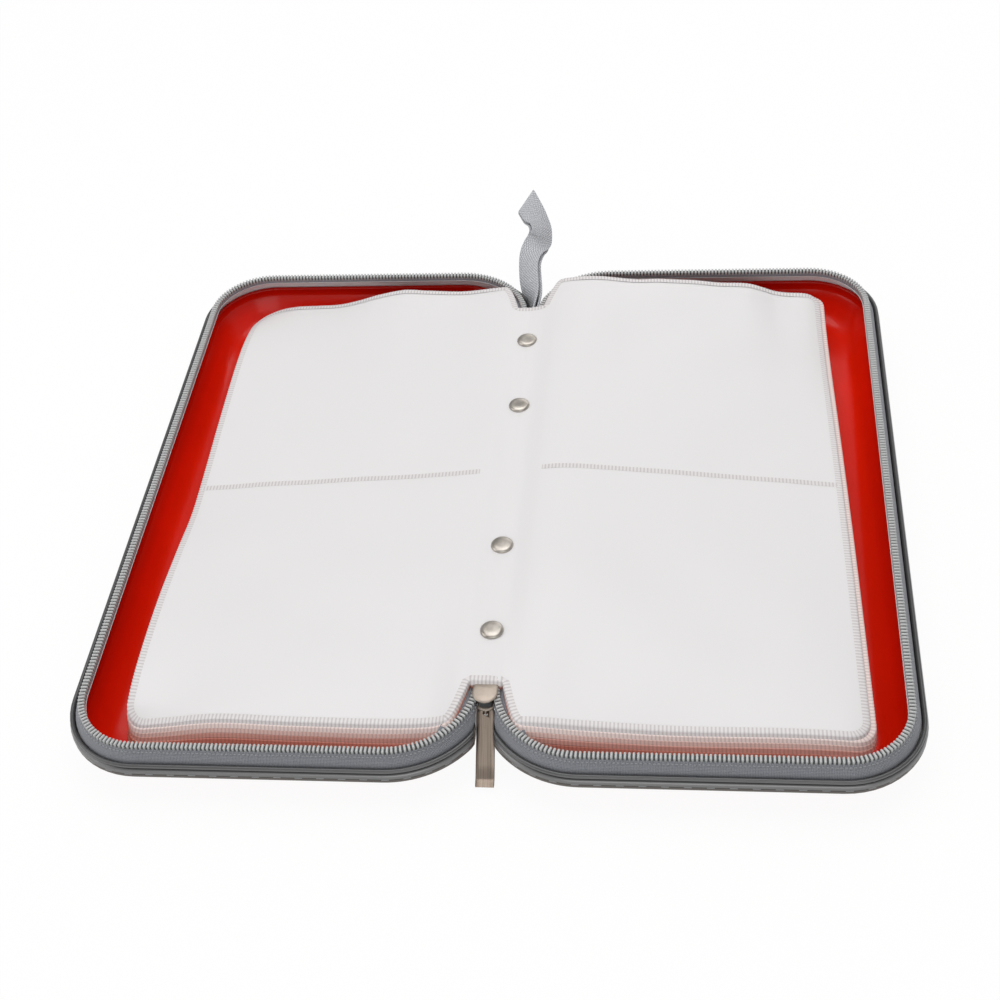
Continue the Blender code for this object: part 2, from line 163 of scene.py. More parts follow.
def object_height(tree, low, high):
    """Object coordinates, and 0 to 1 between two heights given in millimetres from the chain."""
    place = add(tree, "ShaderNodeTexCoord").outputs["Object"]
    height = add(tree, "ShaderNodeSeparateXYZ", {"Vector": place}).outputs["Z"]
    inputs = {"Value": height, "From Min": CHAIN_Z + low * MM, "From Max": CHAIN_Z + high * MM}
    return place, add(tree, "ShaderNodeMapRange", inputs).outputs["Result"]


def moulded_polypropylene():
    """Polypropylene, injection moulded and tinted: deep glossy red, with painted shade that darkens it up the
    steep walls.
    """
    made, tree, shader = finish("moulded_polypropylene", "#E02008", 0.2, Specular_IOR_Level=0.26)
    place, height = object_height(tree, -24.0, -7.0)
    # Painted shade: the colour by height darkens the red from the floor up the walls to the rim.
    colour = ramp(tree, height, [(0.0, "#EC2206"), (0.45, "#E01A04"), (1.0, "#A40E03")])
    # Painted light: a faint red glow stands in for light that comes through the tinted plastic, so the tray
    # brightens even in its own shade.
    shader.inputs["Emission Color"].default_value = linear("#C81000")
    shader.inputs["Emission Strength"].default_value = 0.06
    cloud = add(tree, "ShaderNodeTexNoise", {"Vector": place, "Scale": 38.0, "Detail": 3.0}).outputs["Fac"]
    tint = ramp(tree, cloud, [(0.3, "#F4F4F4"), (0.7, "#FFFFFF")])
    link(tree, multiplied(tree, colour, tint), shader, "Base Color")
    # Flow marks of the moulding, about 8 mm across and very shallow.
    flow = add(tree, "ShaderNodeTexNoise", {"Vector": place, "Scale": 120.0, "Detail": 2.0}).outputs["Fac"]
    bump = add(tree, "ShaderNodeBump", {"Height": flow, "Strength": 0.12, "Distance": 0.0006})
    link(tree, bump.outputs["Normal"], shader, "Normal")
    return made


def extruded_vinyl():
    """Plasticised vinyl, extruded and painted with a metallic gray: smooth, with soft long highlights,
    painted shade in its grooves and a painted highlight band.
    """
    made, tree, shader = finish("extruded_gray_vinyl", "#6A6A68", 0.3, Metallic=0.6)
    place, height = object_height(tree, -10.8, -4.4)
    # Painted shade and highlight: the colour by height darkens the two grooves, paints a lighter band between
    # them, and is darker towards the bottom.
    lines = [(0.0, "#4E4A46"), (0.28, "#66625E"), (0.335, "#262525"), (0.39, "#605F5E"), (0.6, "#8C8C8C"),
             (0.7, "#1E1E1E"), (0.78, "#80807F"), (1.0, "#5C5C5D")]
    link(tree, ramp(tree, height, lines), shader, "Base Color")
    cloud = add(tree, "ShaderNodeTexNoise", {"Vector": place, "Scale": 60.0, "Detail": 2.0}).outputs["Fac"]
    rough = add(tree, "ShaderNodeMapRange", {"Value": cloud, "To Min": 0.26, "To Max": 0.36})
    link(tree, rough.outputs["Result"], shader, "Roughness")
    return made


def woven_polyester(name, light, dark, thread, twill=False):
    """Polyester, woven: rows of threads a fraction of a millimetre apart that read as a fine dull grain."""
    made, tree, shader = finish(name, light, 0.85, Sheen_Weight=0.25, Sheen_Roughness=0.5)
    uv = add(tree, "ShaderNodeUVMap", uv_map="cloth").outputs["UV"]
    turn = (0.0, 0.0, math.radians(45)) if twill else (0.0, 0.0, 0.0)
    placed = add(tree, "ShaderNodeMapping", {"Vector": uv, "Rotation": turn}).outputs["Vector"]
    scale = WAVE_REPEAT / (thread * MM)
    warp = add(tree, "ShaderNodeTexWave", {"Vector": placed, "Scale": scale}, bands_direction="X")
    weft = add(tree, "ShaderNodeTexWave", {"Vector": placed, "Scale": scale}, bands_direction="Y")
    cross = add(tree, "ShaderNodeMath", operation="MULTIPLY")
    link(tree, warp.outputs["Fac"], cross, 0)
    link(tree, weft.outputs["Fac"], cross, 1)
    fuzz = add(tree, "ShaderNodeTexNoise", {"Vector": uv, "Scale": 2500.0, "Detail": 2.0}).outputs["Fac"]
    both = add(tree, "ShaderNodeMath", operation="ADD")
    link(tree, cross.outputs[0], both, 0)
    link(tree, fuzz, both, 1)
    link(tree, ramp(tree, both.outputs[0], [(0.35, dark), (1.1, light)]), shader, "Base Color")
    grain = {"Height": both.outputs[0], "Strength": 0.5, "Distance": thread * MM * 0.5}
    bump = add(tree, "ShaderNodeBump", grain)
    link(tree, bump.outputs["Normal"], shader, "Normal")
    return made


def nylon_coil():
    """Nylon, drawn and formed to teeth: satin light gray that picks up small highlights, painted lighter on
    top and darker below.
    """
    made, tree, shader = finish("formed_nylon", "#A9ABAA", 0.32)
    height = object_height(tree, -1.5, 1.5)[1]
    # Painted light and shade: the teeth are lighter on top and darker below.
    painted_light_by_height = [(0.0, "#7E8080"), (0.6, "#ABADAC"), (1.0, "#BFC0BF")]
    link(tree, ramp(tree, height, painted_light_by_height), shader, "Base Color")
    return made


def pocket_film(name, stops, ribbed=False):
    """Clear polypropylene film on white felt: softly glossy, with painted red bounce light and painted shade
    that grow the deeper it lies in the tray.
    """
    made, tree, shader = finish(name, stops[0][1], 0.42, Coat_Weight=0.1, Coat_Roughness=0.3)
    layer = add(tree, "ShaderNodeUVMap", uv_map="depth").outputs["UV"]
    depth = add(tree, "ShaderNodeSeparateXYZ", {"Vector": layer}).outputs["X"]
    # Painted light: the ramp by depth tints and darkens the lower sheets for the tray's red bounce light and
    # the shade in the stack.
    colour = ramp(tree, depth, stops)
    if ribbed:
        # Marks of the welding wheel, which read as short ticks across the border.
        cloth = add(tree, "ShaderNodeUVMap", uv_map="cloth").outputs["UV"]
        wheel = {"Vector": cloth, "Scale": WAVE_REPEAT / (RIB_PITCH * MM)}
        ticks = add(tree, "ShaderNodeTexWave", wheel, bands_direction="X").outputs["Fac"]
        shade = ramp(tree, ticks, [(0.15, "#E4E1E1"), (0.6, "#FFFFFF")])
        colour = multiplied(tree, colour, shade)
    link(tree, colour, shader, "Base Color")
    place = add(tree, "ShaderNodeTexCoord").outputs["Object"]
    wave = add(tree, "ShaderNodeTexNoise", {"Vector": place, "Scale": 30.0, "Detail": 1.0}).outputs["Fac"]
    bump = add(tree, "ShaderNodeBump", {"Height": wave, "Strength": 0.15, "Distance": 0.002})
    link(tree, bump.outputs["Normal"], shader, "Normal")
    return made


def nickel_plate(name, colour, dull, roughness, brush):
    """Steel, stamped and nickel plated: warm gray metal, faintly brushed, with small handling marks."""
    made, tree, shader = finish(name, colour, roughness, Metallic=1.0)
    place = add(tree, "ShaderNodeTexCoord").outputs["Object"]
    long_way = add(tree, "ShaderNodeMapping", {"Vector": place, "Scale": brush}).outputs["Vector"]
    brushed = {"Vector": long_way, "Scale": 300.0, "Detail": 4.0}
    lines = add(tree, "ShaderNodeTexNoise", brushed).outputs["Fac"]
    link(tree, ramp(tree, lines, [(0.35, dull), (0.65, colour)]), shader, "Base Color")
    rough = {"Value": lines, "To Min": roughness * 0.7, "To Max": roughness * 1.5}
    link(tree, add(tree, "ShaderNodeMapRange", rough).outputs["Result"], shader, "Roughness")
    bump = add(tree, "ShaderNodeBump", {"Height": lines, "Strength": 0.2, "Distance": 0.0001})
    link(tree, bump.outputs["Normal"], shader, "Normal")
    return made


def studio_floor():
    """Paper sweep: nearly white to the camera and in reflections, and plain pale paper in its light."""
    whiteness = 0.94
    made, tree, shader = finish("white_paper_sweep", "#F4F4F4", 0.9)
    glow = add(tree, "ShaderNodeEmission", {"Color": (1.0, 1.0, 1.0, 1.0), "Strength": 1.0}).outputs[0]
    paths = add(tree, "ShaderNodeLightPath").outputs
    seen = add(tree, "ShaderNodeMath", operation="MAXIMUM")
    link(tree, paths["Is Camera Ray"], seen, 0)
    link(tree, paths["Is Glossy Ray"], seen, 1)
    through = add(tree, "ShaderNodeMath", operation="MAXIMUM")
    link(tree, seen.outputs[0], through, 0)
    link(tree, paths["Is Transmission Ray"], through, 1)
    share = add(tree, "ShaderNodeMath", operation="MULTIPLY")
    link(tree, through.outputs[0], share, 0)
    share.inputs[1].default_value = whiteness
    mix = add(tree, "ShaderNodeMixShader", {"Fac": share.outputs[0]})
    tree.links.new(shader.outputs[0], mix.inputs[1])
    tree.links.new(glow, mix.inputs[2])
    link(tree, mix.outputs[0], tree.nodes["Material Output"], "Surface")
    return made


# Shaping

def new_object(name, mesh, material, angle=40):
    made = bpy.data.objects.new(name, mesh)
    bpy.context.scene.collection.objects.link(made)
    if material:
        mesh.materials.append(material)
    mesh.shade_smooth()
    mesh.set_sharp_from_angle(angle=math.radians(angle))
    return made


def only(piece):
    """Selects one object and makes it the active one."""
    bpy.ops.object.select_all(action="DESELECT")
    piece.select_set(True)
    bpy.context.view_layer.objects.active = piece


def apply_modifiers(piece):
    only(piece)
    for step in [m.name for m in piece.modifiers]:
        bpy.ops.object.modifier_apply(modifier=step)
    return piece


def apply_place(piece):
    only(piece)
    bpy.ops.object.transform_apply(location=True, rotation=True, scale=True)
    return piece


def outward(piece):
    """Turns all faces of a closed shape outwards."""
    only(piece)
    bpy.ops.object.mode_set(mode="EDIT")
    bpy.ops.mesh.select_all(action="SELECT")
    bpy.ops.mesh.remove_doubles(threshold=0.000001)
    bpy.ops.mesh.normals_make_consistent(inside=False)
    bpy.ops.object.mode_set(mode="OBJECT")
    return piece


def loft(name, rows, material, closed_rows=False, closed_across=False, capped=False, angle=40):
    """Quads between rows of points, with a UV map named cloth in metres: along the rows, then across them."""
    count = len(rows[0])
    verts = [tuple(point) for row in rows for point in row]
    along = [0.0]
    middle = rows[len(rows) // 2]
    for j in range(count):
        along.append(along[-1] + (middle[(j + 1) % count] - middle[j]).length)
    across = [0.0]
    for i in range(len(rows)):
        here, there = rows[i], rows[(i + 1) % len(rows)]
        across.append(across[-1] + (there[count // 2] - here[count // 2]).length)
    faces, uvs = [], []
    for i in range(len(rows) if closed_across else len(rows) - 1):
        k = (i + 1) % len(rows)
        for j in range(count if closed_rows else count - 1):
            m = (j + 1) % count
            faces.append((i * count + j, i * count + m, k * count + m, k * count + j))
            uvs += [(along[j], across[i]), (along[j + 1], across[i])]
            uvs += [(along[j + 1], across[i + 1]), (along[j], across[i + 1])]
    if capped and closed_across:
        firsts = [i * count for i in range(len(rows))]
        caps = (firsts, [first + count - 1 for first in reversed(firsts)])
    elif capped:
        last = (len(rows) - 1) * count
        caps = (list(range(count - 1, -1, -1)), [last + j for j in range(count)])
    else:
        caps = ()
    for cap in caps:
        faces.append(tuple(cap))
        uvs += [(verts[v][0], verts[v][1]) for v in cap]
    mesh = bpy.data.meshes.new(name)
    mesh.from_pydata(verts, [], faces)
    layer = mesh.uv_layers.new(name="cloth")
    for loop, uv in zip(layer.data, uvs):
        loop.uv = uv
    return new_object(name, mesh, material, angle)


def arc(centre, radii, start, end, steps):
    points = []
    for step in range(steps + 1):
        angle = math.radians(start + (end - start) * step / steps)
        points.append((centre[0] + radii[0] * math.cos(angle), centre[1] + radii[1] * math.sin(angle)))
    return points


def between(a, b, steps):
    """Points on the straight line from a to b, without its ends."""
    return [tuple(p + (q - p) * i / steps for p, q in zip(a, b)) for i in range(1, steps)]


def tray_outline(outset, spine_x, centre_x=None, start=0.0, closed=False):
    """Right-hand tray from above: from the near end of its spine side round the outer side to the far end."""
    radius = SPINE_RADIUS + outset
    centre = (spine_x + radius if centre_x is None else centre_x, SPINE_RADIUS - CHAIN_HALF_LENGTH)
    near = arc(centre, (centre[0] - spine_x, radius), 180 + start, 270, SPINE_STEPS)
    radius = OUTER_RADIUS + outset
    centre = (CHAIN_REACH - OUTER_RADIUS, OUTER_RADIUS - CHAIN_HALF_LENGTH)
    turn = arc(centre, (radius, radius), 270, 360, OUTER_STEPS)
    near += between(near[-1], turn[0], SIDE_STEPS) + turn
    near += between(turn[-1], (turn[-1][0], 0.0), SIDE_STEPS)
    far = [(x, -y) for x, y in reversed(near)]
    whole = near + [(turn[-1][0], 0.0)] + far
    if closed:
        whole += between(whole[-1], whole[0], 2 * SIDE_STEPS)
    return whole


def zipper_outline(outset, start=0.0, clear=0.0):
    """Path at an outset from the chain, which stays at least a clear distance from the spine's middle."""
    outline = tray_outline(outset, SPINE_HALF_GAP - outset, start=start)
    return [(max(x, clear), y) for x, y in outline]


def zipper_rows(profile, side, start):
    """Rows that follow the zipper at each (outset, drop below the chain's middle) of a profile."""
    rows = []
    for outset, drop in profile:
        rows.append([at(side * x, y, -drop) for x, y in zipper_outline(outset, start, NOTCH_CLEAR)])
    return rows


def resampled(path, pitch):
    """Points a pitch apart along a path, each with the direction there."""
    lengths = [0.0]
    for a, b in zip(path, path[1:]):
        lengths.append(lengths[-1] + math.dist(a, b))
    count = round(lengths[-1] / pitch)
    made = []
    for step in range(count + 1):
        wanted = lengths[-1] * step / count
        part = min(max(bisect.bisect_left(lengths, wanted) - 1, 0), len(path) - 2)
        a, b = Vector(path[part]), Vector(path[part + 1])
        way = b - a
        share = (wanted - lengths[part]) / max(way.length, 1e-9)
        made.append((a + way * share, way.normalized()))
    return made


def curve(table, x):
    """Smooth curve through a list of (x, value) pairs, level beyond its ends."""
    xs = [p[0] for p in table]
    if x <= xs[0]:
        return table[0][1]
    if x >= xs[-1]:
        return table[-1][1]
    i = bisect.bisect_right(xs, x) - 1

    def slope(k):
        a, b = table[max(k - 1, 0)], table[min(k + 1, len(table) - 1)]
        return (b[1] - a[1]) / (b[0] - a[0])

    (x0, y0), (x1, y1) = table[i], table[i + 1]
    width = x1 - x0
    t = (x - x0) / width
    m0, m1 = slope(i) * width, slope(i + 1) * width
    return ((2 * t ** 3 - 3 * t ** 2 + 1) * y0 + (t ** 3 - 2 * t ** 2 + t) * m0
            + (3 * t ** 2 - 2 * t ** 3) * y1 + (t ** 3 - t ** 2) * m1)


def spun(name, profile, centre, material, steps=48):
    """Turned solid from (radius, height) points in millimetres, spun about an upright axis at centre."""
    mesh = bpy.data.meshes.new(name)
    mesh.from_pydata([centre + Vector((r * MM, 0, z * MM)) for r, z in profile],
                     [(i, i + 1) for i in range(len(profile) - 1)], [])
    piece = new_object(name, mesh, material)
    only(piece)
    bpy.ops.object.mode_set(mode="EDIT")
    bpy.ops.mesh.select_all(action="SELECT")
    bpy.ops.mesh.spin(steps=steps, angle=math.tau, center=centre, axis=(0, 0, 1))
    bpy.ops.mesh.select_all(action="SELECT")
    bpy.ops.mesh.remove_doubles(threshold=0.00002)
    bpy.ops.mesh.normals_make_consistent(inside=False)
    bpy.ops.object.mode_set(mode="OBJECT")
    piece.data.shade_smooth()
    piece.data.set_sharp_from_angle(angle=math.radians(50))
    return piece


def block(name, size, bevel, segments, material):
    """Rounded block at the origin, sizes in millimetres, from a cube that is scaled and bevelled."""
    bpy.ops.object.select_all(action="DESELECT")
    bpy.ops.mesh.primitive_cube_add(size=1.0, location=(0, 0, 0))
    piece = bpy.context.active_object
    piece.name = name
    piece.scale = [s * MM for s in size]
    apply_place(piece)
    bpy.ops.object.mode_set(mode="EDIT")
    bpy.ops.mesh.select_all(action="SELECT")
    bpy.ops.mesh.bevel(offset=bevel * MM, segments=segments, affect="EDGES")
    bpy.ops.object.mode_set(mode="OBJECT")
    if material:
        piece.data.materials.append(material)
    piece.data.shade_smooth()
    piece.data.set_sharp_from_angle(angle=math.radians(50))
    return piece


def copies(name, pattern, places, material):
    """One mesh that holds a copy of the pattern's shape at each placing matrix. The pattern is removed."""
    source = pattern.data
    points = [v.co.copy() for v in source.vertices]
    polygons = [tuple(p.vertices) for p in source.polygons]
    verts, faces = [], []
    for place in places:
        first = len(verts)
        verts += [tuple(place @ p) for p in points]
        faces += [tuple(first + v for v in polygon) for polygon in polygons]
    mesh = bpy.data.meshes.new(name)
    mesh.from_pydata(verts, [], faces)
    bpy.data.objects.remove(pattern)
    return new_object(name, mesh, material, 50)


def merged(name, pieces):
    """Joins pieces into the first of them."""
    bpy.ops.object.select_all(action="DESELECT")
    for piece in pieces:
        piece.select_set(True)
    bpy.context.view_layer.objects.active = pieces[0]
    bpy.ops.object.join()
    pieces[0].name = name
    return pieces[0]


# Trays

def tray(name, side, material):
    """Moulded shell with a small step below its upright wall, a rounded dome and a flat floor."""
    profile = [
        (2.3, -6.9), (2.5, -7.3), (2.65, -9.0), (2.7, -11.6), (2.3, -12.1), (1.7, -13.0), (0.6, -15.0),
        (-0.6, -17.0), (-2.0, -19.0), (-3.4, -20.6), (-4.8, -21.8), (-6.4, -22.8), (-8.2, -23.5),
        (-9.8, -23.85), (-11.4, FLOOR),
    ]
    widest, step_height = 2.7, -12.0
    centre_x = SPINE_HALF_GAP + SPINE_RADIUS + (1 - NOTCH_CLOSENESS) * widest
    rows = []
    for outset, z in profile:
        inward = max(0.0, widest - outset) if z < step_height else 0.0
        outline = tray_outline(outset, TRAY_SIDE + inward, centre_x, closed=True)
        rows.append([at(side * x, y, z) for x, y in outline])
    shell = loft(name, rows, material, closed_rows=True)
    mesh = bmesh.new()
    mesh.from_mesh(shell.data)
    mesh.verts.ensure_lookup_table()
    count = len(rows[0])
    floor = mesh.faces.new(mesh.verts[-count:])
    floor.smooth = True
    bmesh.ops.recalc_face_normals(mesh, faces=mesh.faces)
    mesh.normal_update()
    down = floor.normal.z < 0
    mesh.to_mesh(shell.data)
    mesh.free()
    wall = shell.modifiers.new("wall", "SOLIDIFY")
    wall.thickness = TRAY_WALL * MM
    wall.offset = -1.0 if down else 1.0
    wall.use_even_offset = True
    return apply_modifiers(shell)


FRAME_PROFILE = [
    (4.1, 5.2), (4.3, 4.7), (4.7, 4.4), (5.2, 4.4), (5.6, 4.7), (5.75, 5.2), (5.6, 5.75), (5.15, 6.1),
    (5.1, 6.4), (5.5, 6.6), (6.0, 7.0), (6.3, 7.6), (6.35, 8.2), (6.15, 8.5), (6.1, 8.8), (6.3, 9.2),
    (6.3, 9.8), (6.0, 10.4), (5.3, 10.75), (3.1, 10.8), (3.1, 9.0), (4.2, 9.0),
]
FRAME_START = 8.0


def along_zipper(side, outset, start, drop, pitch):
    """Placing matrices a pitch apart along the zipper, each turned to the direction there."""
    places = []
    for point, way in resampled(zipper_outline(outset, start), pitch)[1:-1]:
        turn = Matrix.Rotation(math.atan2(way.y, side * way.x), 4, "Z")
        places.append(Matrix.Translation(at(side * point.x, point.y, -drop)) @ turn)
    return places


def rim_frame(name, side, material, thread):
    """Band round the tray: an upper ridge, a groove, and a lower band with a row of stitches."""
    rows = zipper_rows(FRAME_PROFILE, side, FRAME_START)
    band = outward(loft(name, rows, material, closed_across=True, capped=True, angle=60))
    stitch = block("stitch", (2.8, 0.4, 0.4), 0.12, 1, None)
    places = along_zipper(side, 6.1, FRAME_START + 20.0, 8.6, 8.0)
    return band, copies(f"{name}_stitches", stitch, places, thread)


def zipper_tape(name, side, material, thread, lining):
    """Thin woven tape that flares from under the teeth to the frame, its stitches, and its facing inside, a
    paler cloth that is painted light on the tape's shaded inner side.
    """
    outer = [(1.15, 0.4), (1.4, 1.2), (1.9, 2.2), (2.6, 3.2)]
    outer += [(3.2, 4.1), (3.5, 4.9), (3.65, 6.0), (3.65, 8.4)]
    inner = [(3.15, 8.4), (3.15, 6.0), (3.0, 5.0), (2.4, 4.0)]
    inner += [(1.6, 3.1), (0.6, 2.5), (-0.4, 2.1), (-1.1, 1.6)]
    rows = zipper_rows(outer + inner + [(-1.15, 0.4)], side, 2.0)
    tape = outward(loft(name, rows, material, closed_across=True, capped=True))
    stitch = block("stitch", (0.95, 0.5, 0.6), 0.12, 1, None)
    stitches = copies(f"{name}_stitches", stitch, along_zipper(side, 1.6, 12.0, 1.5, TOOTH_PITCH), thread)
    # Painted light: the facing is near-white so the shaded inside of the tape reads light.
    facing = zipper_rows([(outset - 0.2, drop + 0.15) for outset, drop in inner], side, 6.0)
    return tape, stitches, thickened(loft(f"{name}_facing", facing, lining), 0.15)


def thickened(cloth, thickness):
    """Gives an open sheet of cloth its thickness in millimetres."""
    thick = cloth.modifiers.new("thick", "SOLIDIFY")
    thick.thickness = thickness * MM
    return apply_modifiers(cloth)


def zipper_teeth(name, side, nylon, dark):
    """Moulded teeth on a dark cord, which is painted shade for the gaps between the teeth."""
    tooth = block("tooth", (0.9, 2.6, 2.1), 0.26, 1, None)
    path = zipper_outline(0.0, 1.0)
    row = copies(name, tooth, along_zipper(side, 0.0, 1.0, -0.35, TOOTH_PITCH), nylon)
    section = [(-0.85, 0.7), (0.85, 0.7), (0.85, -0.6), (-0.85, -0.6)]
    rows = []
    for offset, z in section:
        rows.append([at(side * (p.x + w.y * offset), p.y - w.x * offset, z) for p, w in resampled(path, 2.4)])
    # Painted shade: the dark cord shows through the gaps between the teeth.
    cord = outward(loft(f"{name}_cord", rows, dark, closed_across=True, capped=True, angle=30))
    return row, cord


def gusset(name, side, material):
    """Cloth that runs inside the chain at the notches, where the pages are cut back."""
    path = [(x, y) for x, y in zipper_outline(0.0, 2.0) if x < 20.0 and y < 0]
    centre = Vector((SPINE_HALF_GAP + SPINE_RADIUS, SPINE_RADIUS - CHAIN_HALF_LENGTH))
    steps, width, rise, fade_length = 5, 5.5, 4.5, 12.5
    pieces = []
    for flip, word in ((1, "near"), (-1, "far")):
        rows = []
        for step in range(steps + 1):
            share = step / steps
            row = []
            for point in path:
                fade = max(0.0, 1 - (point[0] - SPINE_HALF_GAP) / fade_length) ** 0.6
                reach = 1.0 + width * fade
                x, y = Vector(point) + (centre - Vector(point)).normalized() * reach * share
                row.append(at(side * x, flip * y, -0.9 + (rise * fade - 1.2) * share))
            rows.append(row)
        pieces.append(thickened(loft(f"{name}_{word}", rows, material), 0.4))
    return merged(name, pieces)


# Pages

PAGE_FORMS = {
    -1: {
        "middle": [(0, 3.9), (4, 4.0), (9, 4.7), (13, 4.6), (30, 2.8), (60, 0.6), (90, -1.4),
                   (120, -3.4), (135, -4.2)],
        "far": [(0, 3.9), (12.5, 3.3), (18, 2.8), (34, 0.9), (51, 1.4), (62, 2.0), (75, -0.8), (84, -3.8),
                (94, -6.2), (105, -6.6), (114, -6.8), (122, -8.2), (131, -10.5), (135, -12.5)],
        "near": [(0, 3.9), (10, 3.0), (19, -0.1), (37.5, -1.3), (67, -1.0), (97, 0.0), (119, -2.8),
                 (136, -4.5)],
        "outer": [(-127, -6.0), (-119, -1.6), (-102, 0.8), (-70, 0.4), (-39, -2.9), (-16, -6.0), (5, -5.8),
                  (42, -4), (83, -3.2), (105, -5.6), (127.6, -12.5)],
        "near_corner": 8.0, "far_corner": 15.0,
    },
    1: {
        "middle": [(0, 3.9), (5, 4.2), (9, 5.6), (13, 7.0), (24, 8.0), (46, 6.6), (80, 3.0),
                   (110, -0.4), (135, -3.6)],
        "far": [(0, 3.9), (7.5, 5.9), (18, 8.6), (30, 9.2), (48, 6.2), (60, 6.4), (75, 6.0), (88, 4.2),
                (101, 3.4), (108, 1.4), (114, -0.8), (120, -1.8), (128, -2.4), (134, -4.0)],
        "near": [(0, 3.9), (11, 1.8), (20, 1.4), (41, -1.0), (75, -2.3), (110, -1.6), (127, -2.0),
                 (137, -3.5)],
        "outer": [(-127, -5.0), (-114, -4.0), (-76, -3.0), (-43, -2.5), (0, -3.2), (40, -5.0), (81, -7.4),
                  (110, -7.0), (127, -4.5)],
        "near_corner": 8.0, "far_corner": 6.0,
    },
}
NOTCH_CUT = [(6.2, 17.0), (7.2, 13.2), (9.0, 7.3), (11.0, 2.4), (12.6, 0.3), (14.0, 0.0)]


def top_height(side, x, y):
    """Height of the open spread in millimetres above the chain, at a distance x out from the spine."""
    forms = PAGE_FORMS[side]
    end = forms["far"] if y > 0 else forms["near"]
    share = min(1.0, abs(y) / PAGE_HALF_LENGTH)

    def base(at_x):
        middle = curve(forms["middle"], at_x)
        return middle + (curve(end, at_x) - middle) * share ** 3

    lift = curve(forms["outer"], y) - base(PAGE_REACH)
    height = base(x) + lift * min(1.1, x / PAGE_REACH) ** 6
    soft = noise.noise(Vector((side * x / 34.0, y / 40.0, 3.0))) * 1.1
    calm = min(1.0, x / 30.0) * min(1.0, max(0.0, (PAGE_REACH - x) / 25.0))
    return height + soft * calm


def stack_bottom(x):
    """Height of the stack's underside: over the tray's lip, then down to its floor."""
    underside = [(0, -3.3), (7.8, -3.3), (10.8, -9.0), (16.8, -18.5), (24, -21.4), (40, -21.9), (140, -21.9)]
    return curve(underside, x)


def sheet_share(layer):
    return (layer / (SHEETS - 1)) ** 1.1


def sheet_height(side, layer, x, y):
    high = top_height(side, min(x, PAGE_REACH), max(-PAGE_HALF_LENGTH, min(PAGE_HALF_LENGTH, y)))
    return high + (stack_bottom(x) - high) * sheet_share(layer)


def sheet_size(side, layer):
    """Reach, near and far ends of a sheet. The lower sheets peep out in steps at the near edge."""
    out = min(layer, STEPPED_SHEETS)
    back = max(0, layer - STEPPED_SHEETS)
    slip = noise.noise(Vector((layer * 1.7, side * 2.3, 0.5)))
    reach = PAGE_REACH + (2.0 if side > 0 and 0 < layer < 4 else 0.4 * slip) - 0.5 * back
    near = PAGE_HALF_LENGTH + 1.25 * out + 0.4 * slip * (layer > 0) - 0.9 * back
    far = PAGE_HALF_LENGTH + 0.5 * min(layer, 4) - 0.5 * back
    return reach, near, far


def sheet_end(side, layer, x, far_side):
    """Half length of a sheet at x, with its rounded corner and the cut at the notch."""
    reach, near, far = sheet_size(side, layer)
    radius = PAGE_FORMS[side]["far_corner" if far_side else "near_corner"]
    into = max(0.0, x - (reach - radius))
    rounded = radius - math.sqrt(max(0.0, radius ** 2 - into ** 2))
    half = far if far_side else near
    notch_side, notch_end = NOTCH_CUT[0][0], NOTCH_CUT[-1][0]
    cut = curve(NOTCH_CUT, x)
    if x <= notch_end:
        share = max(0.0, (x - notch_side) / (notch_end - notch_side))
        half = PAGE_HALF_LENGTH + (half - PAGE_HALF_LENGTH) * share
    return half - rounded - cut


def sheet_outline(side, layer):
    """The sheet's free edge, from the binding's near end round the outer side to its far end."""
    reach = sheet_size(side, layer)[0]
    stations = [0.0, 2.0, 4.0, 5.4, 6.2, 6.6, 7.0, 7.5, 8.0, 8.6, 9.3, 10.2, 11.0, 12.0, 13.0]
    stations += [14.0, 16.0, 20.0, 26.0]
    stations += [26.0 + (reach - 16.0 - 26.0) * i / 12 for i in range(1, 13)]
    near = [(x, -sheet_end(side, layer, x, False)) for x in stations]
    far = [(x, sheet_end(side, layer, x, True)) for x in reversed(stations)]
    corners = []
    for far_side in (False, True):
        radius = PAGE_FORMS[side]["far_corner" if far_side else "near_corner"]
        half = sheet_size(side, layer)[2 if far_side else 1]
        way = 1 if far_side else -1
        turn = arc((reach - radius, way * (half - radius)), (radius, way * radius), 90, 0, 10)
        corners.append(list(reversed(turn)) if far_side else turn)
    return near + corners[0] + corners[1] + far


def weld(name, side, layer, material, pitch):
    """Welded border of a sheet: a flat ribbed band with a serrated rim that sags to the next sheet."""
    stations = resampled(sheet_outline(side, layer), pitch)
    steps = [(-1.0, -1.2), (-0.12, -0.12), (0.0, 0.06), (0.8, 0.12), (1.8, 0.12), (2.5, 0.04)]
    rows = [[] for _ in steps]
    for i, (point, way) in enumerate(stations):
        inward = Vector((-way.y, way.x))
        rib = 1.0 if i % 2 else -1.0
        for row, (inset, rise) in zip(rows, steps):
            if inset < -0.5:
                inset *= 0.15 + 0.85 * abs(way.x)
            elif inset < 0.1:
                inset += 0.12 * rib
            else:
                rise += 0.04 * rib
            place = point + inward * inset
            x = max(place.x, 0.0)
            z = sheet_height(side, layer, x, place.y) + rise
            row.append(sheet_at(side, x, place.y, z))
    return loft(name, rows, material, angle=180)


def sheet_at(side, x, y, z):
    """A place on a sheet. The right-hand sheets lie a little askew."""
    askew = 3.0 * (x / PAGE_REACH) ** 2 * y / PAGE_HALF_LENGTH if side > 0 else 0.0
    return at(side * (x - askew), y, z)


def marked(piece, layer):
    """Notes in a UV map named depth how deep a sheet lies in the stack, from 0 to 1."""
    depth = piece.data.uv_layers.new(name="depth")
    for loop in depth.data:
        loop.uv = (layer / (SHEETS - 1), 0.5)
    return piece


